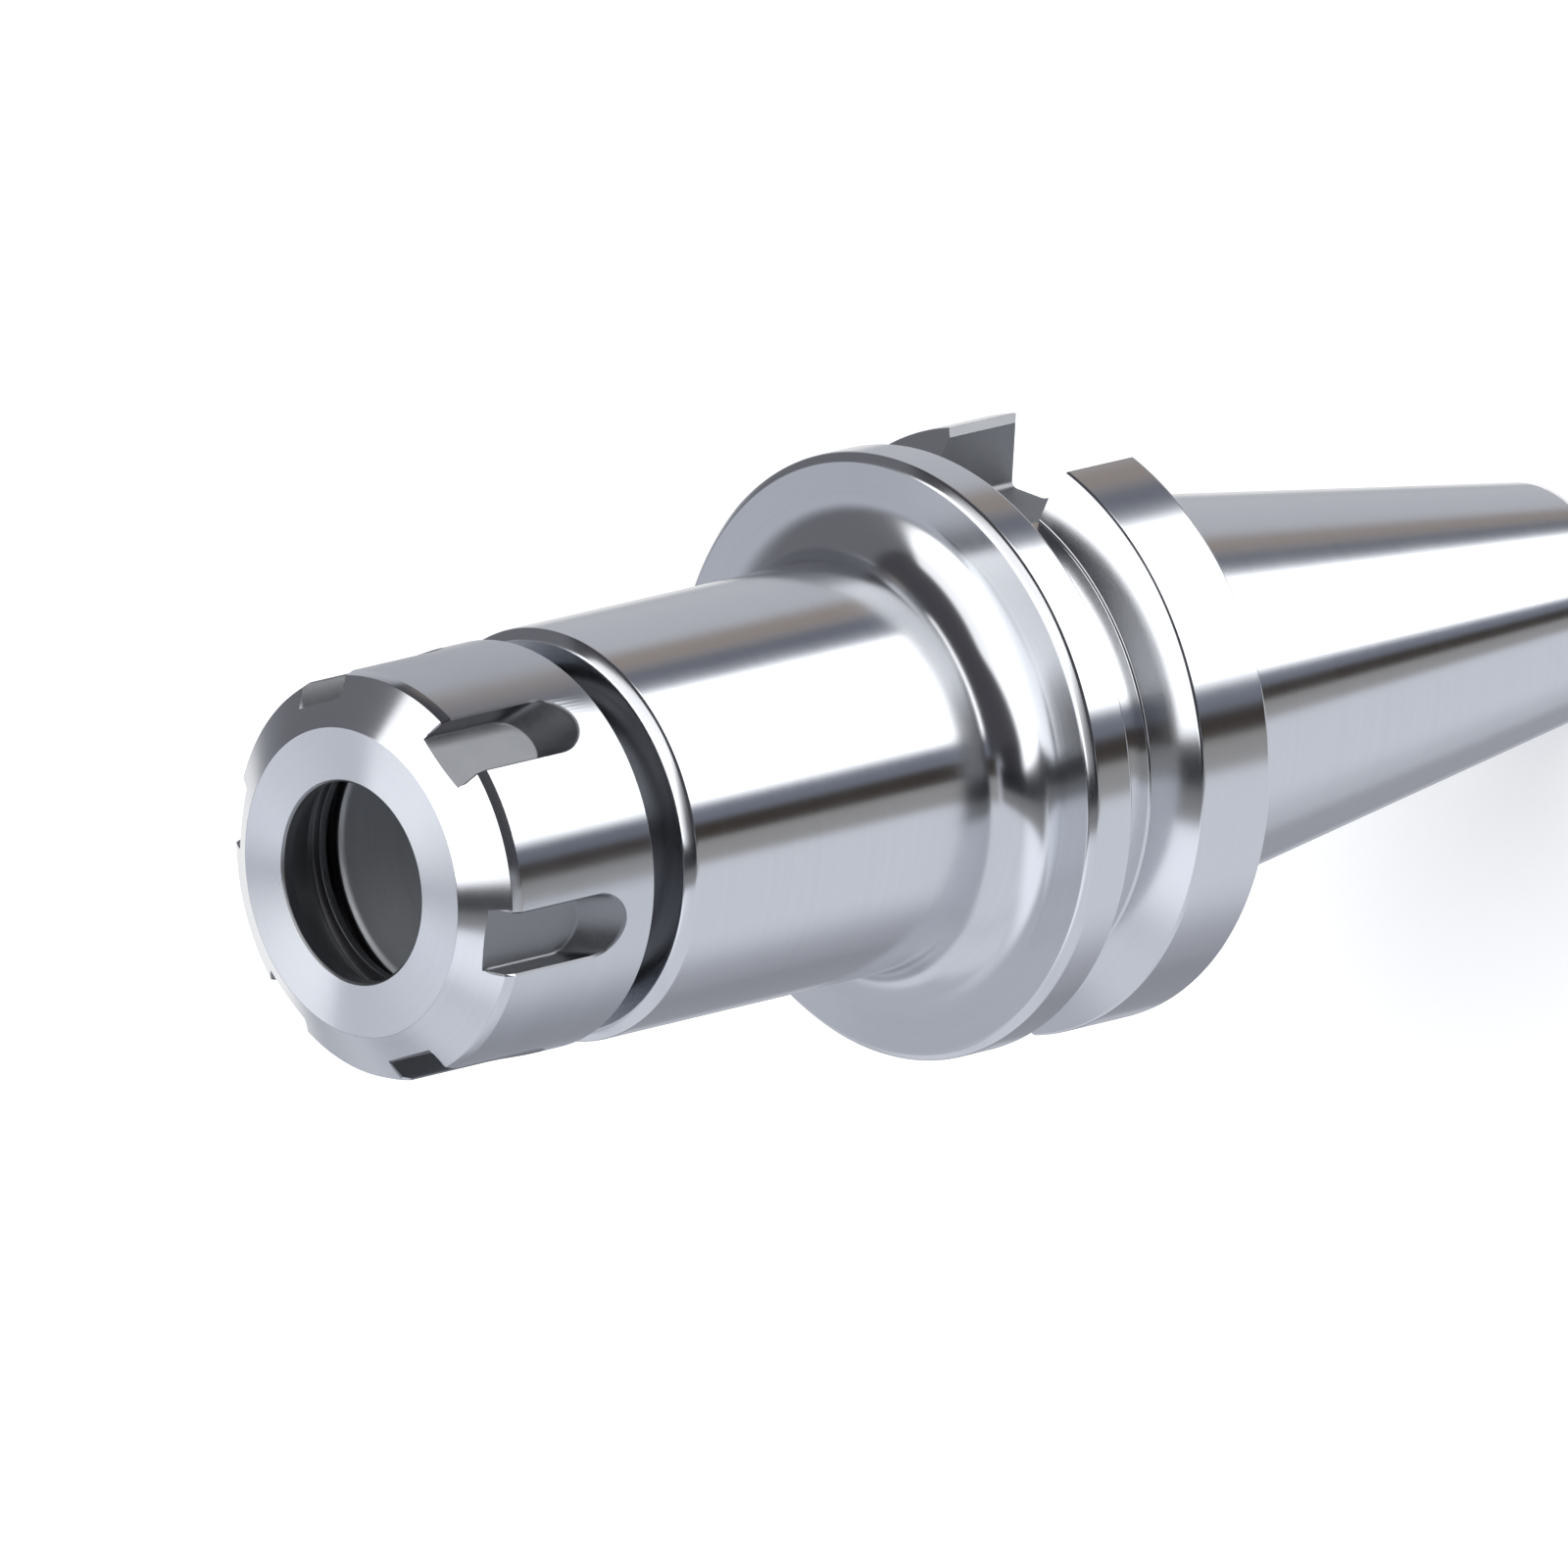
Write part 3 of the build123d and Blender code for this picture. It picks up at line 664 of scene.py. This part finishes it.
def spanner_slot_cutter(s, turn):
    """Rings of a stadium open at the front. Its end leans back as it climbs from the floor, and the last
    rings spread outwards along the nut's own surface, which leaves an even chamfer that dies away where
    the floor runs out on the front cone."""
    half, floor = s.slot_width / 2, s.nut_dia / 2 - s.slot_depth
    floor_end, edge = s.rear + SPANNER_END, s.slot_edge
    t = np.radians(np.linspace(180, 360, 25))
    edge_z = nut_edge(s)[1]
    # heights of the straight sides' points, and the share of the chamfer that each point gets
    side = np.array([s.face + 3 * CLEAR, s.face - 1.7 * MM, s.face - 2.1 * MM, s.face - 2.5 * MM, edge_z,
                     edge_z - BAND_LENGTH])
    share_here = np.array([0, 0, 0.6, 1, 1, 1])
    grow = np.concatenate([share_here, np.ones(len(t)), share_here[::-1]])
    n = len(side)

    def ring(e, height):
        """One ring, spread by e, whose x is the given height over (y, z). Six passes settle the leaning end,
        because its place depends on x and x on its place."""
        w = half + e * grow
        y = np.concatenate([-w[:n], w[n:-n] * np.cos(t), w[-n:]])
        x = floor + np.zeros_like(y)
        for _ in range(6):
            end = floor_end - SPANNER_LEAN * (x[n:-n] - floor) + half
            z = np.concatenate([side, end + w[n:-n] * np.sin(t), side[::-1]])
            x = height(y, z)
        return np.column_stack([x, y, z])

    lowest = floor + 1.5 * SPANNER_CORNER
    shape = np.array([
        ring(-SPANNER_CORNER, lambda y, z: floor + 0 * y),
        ring(0.0, lambda y, z: floor + SPANNER_CORNER + 0 * y),
        ring(0.0, lambda y, z: np.maximum(nut_surface(s, y, z) - edge, lowest)),
        ring(2 * edge, lambda y, z: np.maximum(nut_surface(s, y, z) + edge, lowest + SPANNER_CORNER)),
        ring(2 * edge, lambda y, z: s.nut_dia / 2 + 2 * CLEAR + 0 * y),
    ])
    x, y, z = np.moveaxis(shape, -1, 0)
    cos, sin = math.cos(turn), math.sin(turn)
    rotated = np.stack([x * cos - y * sin, x * sin + y * cos, z], -1)
    return stacked(f"cut_spanner_{round(math.degrees(turn))}", rotated, milled_steel())


class MESH_OT_clamping_nut(bpy.types.Operator):
    """Turn the clamping nut, mill its spanner slots and cut its thread"""
    bl_idname = "mesh.clamping_nut"
    bl_label = "Clamping Nut"

    def execute(self, context):
        s = context.scene.nut_sizes
        points, off_axis, thread_end = nut_outline(s)
        nut = turned("clamping_nut_turned", softened(points, NUT_SOFT), np.repeat(off_axis, CORNER_STEPS),
                     ground_steel())
        turns = FIRST_SLOT + 2 * np.pi * np.arange(s.slot_count) / s.slot_count
        cut_away(nut, [spanner_slot_cutter(s, a) for a in turns])
        edge_r, edge_z = nut_edge(s)
        ring, mouth = s.cone_inner_dia / 2, s.mouth_dia / 2 + MOUTH_BREAK - 0.02 * MM
        land, bore = s.face - MOUTH_LAND - 0.05 * MM, NUT_ROOT_R + 0.35 * MM
        near_cone = 0.05 * MM

        def on_cone(r, z):
            """On the front cone, where r - ring is the fall below the face over CONE_FALL."""
            off_cone = abs((s.face - z) / CONE_FALL - (r - ring))
            return (r > ring) & (r < edge_r) & (z > edge_z) & (off_cone < near_cone)

        # Painted shade: the nut's bore gets the darker steel colour.
        paint(nut, painted_shade_steel(), lambda r, z: (r < bore) & (z < land))
        # Painted sheen: the front face gets the lighter copy of the nut steel's colour.
        paint(nut, lapped_steel_with_sheen(), lambda r, z: (z > s.face - SAME) & (r < ring))
        # Painted shade: the mouth's land gets the darker steel colour too.
        paint(nut, painted_shade_steel(), lambda r, z: (r < mouth) & (z > land))
        paint(nut, polished_steel(), lambda r, z: (r > edge_r) & (z < edge_z) & (z > edge_z - BAND_LENGTH))
        paint(nut, cone_steel(), on_cone)
        finish_piece(nut, "nut", ("clamping_nut",))
        # Painted shade: the nut's thread has the darker steel colour.
        thread = helical_ridge("nut_thread", NUT_ROOT_R, NUT_CREST_R, THREAD_PITCH,
                               s.rear + NUT_PLAIN[0], thread_end - NUT_PLAIN[1], painted_shade_steel())
        finish_piece(thread, "nut")
        return {"FINISHED"}


# the stage

WHITE = linear("#FFFFFF")
# Camera of the photograph: its right and up axes, its place in metres, its lens and sensor in millimetres.
CAMERA_RIGHT, CAMERA_UP = (0.05369215, -0.67850598, -0.73263005), (0.94968802, 0.26141213, -0.17250031)
CAMERA_PLACE = (1.3904766, -3.0944259, 3.0082426)
CAMERA_LENS, CAMERA_SENSOR = 1018.81, 36.0
CAMERA_NEAR, CAMERA_FAR = 0.1, 100.0
# Overhead lamp: place and side in metres, and power in watts.
LAMP_PLACE, LAMP_SIDE, LAMP_POWER = (0.9, -0.4, 1.8), 1.4, 10.0
FLOOR_CORNERS = 96
# The plain tent wall is slightly cool: shares of red, green and blue.
TENT_TINT = (0.96, 1.0, 1.1)
# Soft box on a ceiling one unit up: its end along x and its two edges along y, each with its fade. Then, for
# the box and its dimmer far side, the name, the beginning along x, its fade, and the brightness.
BOX_END, BOX_EDGES = (1.5, -0.5), ((-0.74, 0.36), (0.86, -0.12))
SOFT_BOX = [("soft box", -0.06, 0.12, 2.1), ("far side of the soft box", 0.8, 0.4, 1.45)]
LOWEST_RISE = 0.05
# Gaps between the ceiling's sheets lie across this direction. For each: name, lowest and highest share of
# it, how far back it reaches, and colour. Then the fade of the sides, the foot with its fade, and the fade at
# the back.
GAP_WAY = (1.0, 0.06, 0.16)
GAPS = [("grey strip", -0.22, -0.09, 0.1, "#898989"), ("ceiling gap", -0.1, 0.07, 0.45, "#27282C")]
GAP_FADE, GAP_FOOT, GAP_BACK_FADE = 0.03, (0.0, 0.2), -0.25
# Light tent round the part: name, middle azimuth, half width and soft edge in degrees, lowest and highest
# sine of elevation and its soft edge, brightness and tint.
TENT = [
    ("left wall", -128, 40, 24, -1.4, 1.4, 0.1, 0.90, "#F4F7FF"),
    ("left ceiling", -150, 66, 30, 0.74, 1.4, 0.2, 1.30, "#F4F7FF"),
    ("back wall", 166, 34, 40, -1.4, 0.74, 0.2, 0.90, "#F4F7FF"),
    ("rear wall", 114, 24, 30, 0.2, 0.95, 0.2, 0.66, "#F1F5FF"),
    ("dim corner", 147, 15, 14, 0.1, 0.6, 0.2, 0.66, "#F1F5FF"),
    ("dim table", 176, 22, 40, -0.78, -0.3, 0.2, 0.48, "#F1F4FF"),
    ("shaded table", 154, 21, 10, -0.78, -0.3, 0.2, 0.40, "#F1F4FF"),
    ("right wall", 62, 36, 24, -0.3, 1.4, 0.2, 0.21, "#F4F5FF"),
    ("right table", 58, 32, 36, -1.4, -0.3, 0.2, 0.66, "#F6F8FF"),
    ("white sweep", 103, 10, 10, -1.4, -0.45, 0.2, 0.90, "#FFFFFF"),
    ("white horizon", 112, 13, 9, -0.5, -0.18, 0.12, 1.12, "#FFFFFF"),
    ("horizon gap", -19, 60, 8, -0.4, 1.4, 0.2, 0.085, "#F4F2FF"),
    ("open side", -85, 11, 8, 0.12, 0.78, 0.2, 0.05, "#F4F2FF"),
    ("warm card", 26, 8, 12, -1.4, -0.3, 0.2, 0.38, "#FFEFE4"),
    ("grey flag", 13, 6, 8, -1.4, -0.3, 0.2, 0.24, "#E6ECFF"),
    ("white table", -33, 33.5, 8, -1.4, -0.36, 0.16, 2.6, "#FFFFFF"),
    ("table edge", -73.5, 4, 3, -1.4, -0.3, 0.2, 0.28, "#DFE8FF"),
    ("slit side", -93, 7, 6, -1.4, -0.1, 0.2, 0.42, "#F8F6F4"),
    ("open slit", -82.5, 5, 3, -1.4, -0.1, 0.2, 0.05, "#FFE6D2"),
]


def lay_panel(tree, level, edges, panel, label):
    """The world's colour so far with a panel's colour laid over it. The panel's mask is the product of one
    smooth step for each (value, edge, fade): 0 below the edge and 1 above it, or the other way round where
    the fade is negative."""
    mask = 1.0
    for value, edge, fade in edges:
        start, end = edge - fade / 2, edge + fade / 2
        step = add(tree, "ShaderNodeMapRange", {0: value, 1: start, 2: end, 3: 0.0, 4: 1.0},
                   interpolation_type="SMOOTHSTEP").outputs[0]
        mask = add(tree, "ShaderNodeMath", {0: mask, 1: step}, operation="MULTIPLY").outputs[0]
    return add(tree, "ShaderNodeMix", {0: mask, 6: level, 7: panel}, data_type="RGBA", label=label).outputs[2]


def tent_world(looks):
    """The world that metal and floor see: a grey room with each panel of TENT laid over it by azimuth and
    elevation, a square soft box overhead and the dark gaps beside it. The camera sees plain white."""
    world = bpy.data.worlds.new("light_tent")
    world.use_nodes = True
    tree = world.node_tree
    tree.nodes.clear()
    way = add(tree, "ShaderNodeTexCoord").outputs["Generated"]
    dx, dy, dz = add(tree, "ShaderNodeSeparateXYZ", {0: way}).outputs
    azimuth = add(tree, "ShaderNodeMath", {0: dy, 1: dx}, operation="ARCTAN2").outputs[0]
    azimuth = add(tree, "ShaderNodeMath", {0: azimuth}, operation="DEGREES").outputs[0]
    level = add(tree, "ShaderNodeRGB").outputs[0]
    level.default_value = (*(looks.tent * tint for tint in TENT_TINT), 1.0)
    for name, middle, half, soft, low, high, fade, bright, hex_colour in TENT:
        off = add(tree, "ShaderNodeMath", {0: azimuth, 1: middle}, operation="SUBTRACT").outputs[0]
        off = add(tree, "ShaderNodeMath", {0: off, 1: 180.0, 2: -180.0}, operation="WRAP").outputs[0]
        off = add(tree, "ShaderNodeMath", {0: off}, operation="ABSOLUTE").outputs[0]
        panel = (*(bright * c for c in linear(hex_colour)[:3]), 1.0)
        level = lay_panel(tree, level, [(off, half, -soft), (dz, low, fade), (dz, high, -fade)], panel, name)
    # the place on a ceiling one unit up where a direction meets it
    rise = add(tree, "ShaderNodeMath", {0: dz, 1: LOWEST_RISE}, operation="MAXIMUM").outputs[0]
    x = add(tree, "ShaderNodeMath", {0: dx, 1: rise}, operation="DIVIDE").outputs[0]
    y = add(tree, "ShaderNodeMath", {0: dy, 1: rise}, operation="DIVIDE").outputs[0]
    for name, begin, fade, bright in SOFT_BOX:
        edges = [(x, begin, fade), (x, *BOX_END), *((y, *edge) for edge in BOX_EDGES)]
        level = lay_panel(tree, level, edges, (bright, bright, bright, 1.0), name)
    across = add(tree, "ShaderNodeVectorMath", {0: way, 1: GAP_WAY}, operation="DOT_PRODUCT").outputs["Value"]
    for name, low, high, back, hex_colour in GAPS:
        edges = [(across, low, GAP_FADE), (across, high, -GAP_FADE), (dz, *GAP_FOOT),
                 (dy, back, GAP_BACK_FADE)]
        level = lay_panel(tree, level, edges, linear(hex_colour), name)
    seen = add(tree, "ShaderNodeLightPath").outputs["Is Camera Ray"]
    level = add(tree, "ShaderNodeMix", {0: seen, 6: level, 7: WHITE}, data_type="RGBA",
                label="white to the camera").outputs[2]
    sky = add(tree, "ShaderNodeBackground", {0: level, 1: 1.0})
    add(tree, "ShaderNodeOutputWorld", {0: sky.outputs[0]})
    bpy.context.scene.world = world


def floor_material(looks):
    """Matt white paper. The camera sees it lifted to white, shadows stay, and metal sees the tent instead."""
    material = bpy.data.materials.new("matt_paper_floor")
    material.use_nodes = True
    tree = material.node_tree
    tree.nodes.clear()
    path = add(tree, "ShaderNodeLightPath").outputs
    paper = add(tree, "ShaderNodeBsdfDiffuse", {0: (*looks.floor, 1.0)}).outputs[0]
    lift = add(tree, "ShaderNodeMath", {0: path["Is Camera Ray"], 1: looks.floor_lift},
               operation="MULTIPLY").outputs[0]
    glow = add(tree, "ShaderNodeEmission", {0: WHITE, 1: lift}).outputs[0]
    lit = add(tree, "ShaderNodeAddShader", {0: paper, 1: glow}).outputs[0]
    clear = add(tree, "ShaderNodeBsdfTransparent").outputs[0]
    mix = add(tree, "ShaderNodeMixShader", {0: path["Is Glossy Ray"], 1: lit, 2: clear}).outputs[0]
    add(tree, "ShaderNodeOutputMaterial", {0: mix})
    return material


def place_camera():
    """Camera of the photograph, turned by the matrix whose columns are its right, up and back axes."""
    right, up = Vector(CAMERA_RIGHT), Vector(CAMERA_UP)
    data = bpy.data.cameras.new("photo_camera")
    data.sensor_width, data.lens = CAMERA_SENSOR, CAMERA_LENS
    data.clip_start, data.clip_end = CAMERA_NEAR, CAMERA_FAR
    camera = bpy.data.objects.new("photo_camera", data)
    turn = Matrix((right, up, right.cross(up))).transposed().to_4x4()
    camera.matrix_world = Matrix.Translation(CAMERA_PLACE) @ turn
    bpy.context.scene.collection.objects.link(camera)
    bpy.context.scene.camera = camera


def place_lamp():
    """A square soft lamp that looks at the middle of the part."""
    data = bpy.data.lights.new("overhead_lamp", "AREA")
    data.shape, data.size, data.energy = "SQUARE", LAMP_SIDE, LAMP_POWER
    lamp = bpy.data.objects.new("overhead_lamp", data)
    lamp.location = LAMP_PLACE
    aim = (CAD_BOX[0] + CAD_BOX[1]) / 2 - lamp.location
    lamp.rotation_euler = aim.to_track_quat("-Z", "Y").to_euler()
    lamp.visible_glossy = False
    bpy.context.scene.collection.objects.link(lamp)


class SCENE_OT_stage(bpy.types.Operator):
    """Set up the floor, the light tent, the lamp and the camera"""
    bl_idname = "scene.holder_stage"
    bl_label = "Stage"

    def execute(self, context):
        looks = context.scene.studio_looks
        scene = context.scene
        scene.view_settings.view_transform = "Standard"
        angle = np.linspace(0, 2 * np.pi, FLOOR_CORNERS, endpoint=False)
        rim = np.column_stack([looks.floor_radius * np.cos(angle), looks.floor_radius * np.sin(angle),
                               np.full(FLOOR_CORNERS, HOLDER_BOX[0].z)])
        mesh = bpy.data.meshes.new("paper_floor")
        mesh.from_pydata(rim.tolist(), [], [list(range(FLOOR_CORNERS))])
        mesh.materials.append(floor_material(looks))
        floor = bpy.data.objects.new("paper_floor", mesh)
        scene.collection.objects.link(floor)
        tent_world(looks)
        place_lamp()
        place_camera()
        return {"FINISHED"}


class VIEW3D_PT_holder(bpy.types.Panel):
    """Sidebar panel of the holder"""
    bl_label = "Collet Chuck Holder"
    bl_space_type = "VIEW_3D"
    bl_region_type = "UI"
    bl_category = "Holder"

    def draw(self, context):
        for group in ("holder_sizes", "nut_sizes", "steel_looks", "studio_looks"):
            box = self.layout.box()
            values = getattr(context.scene, group)
            for key in values.__annotations__:
                box.prop(values, key)
        for operator in OPERATORS:
            self.layout.operator(operator.bl_idname)


OPERATORS = (MESH_OT_holder_body, MESH_OT_clamping_nut, SCENE_OT_stage)
GROUPS = {"holder_sizes": HolderSizes, "nut_sizes": NutSizes, "steel_looks": SteelLooks,
          "studio_looks": StudioLooks}


def register():
    """Registers the classes and hangs the property groups on the scene."""
    for cls in (*GROUPS.values(), *OPERATORS, VIEW3D_PT_holder):
        bpy.utils.register_class(cls)
    for key, cls in GROUPS.items():
        setattr(bpy.types.Scene, key, PointerProperty(type=cls))


def unregister():
    """Takes the property groups and the classes away again."""
    for key in GROUPS:
        delattr(bpy.types.Scene, key)
    for cls in (VIEW3D_PT_holder, *reversed(OPERATORS), *reversed(GROUPS.values())):
        bpy.utils.unregister_class(cls)


def main():
    """Makes the pieces and the stage."""
    register()
    bpy.ops.mesh.holder_body()
    bpy.ops.mesh.clamping_nut()
    bpy.ops.scene.holder_stage()


if __name__ == "__main__":
    main()
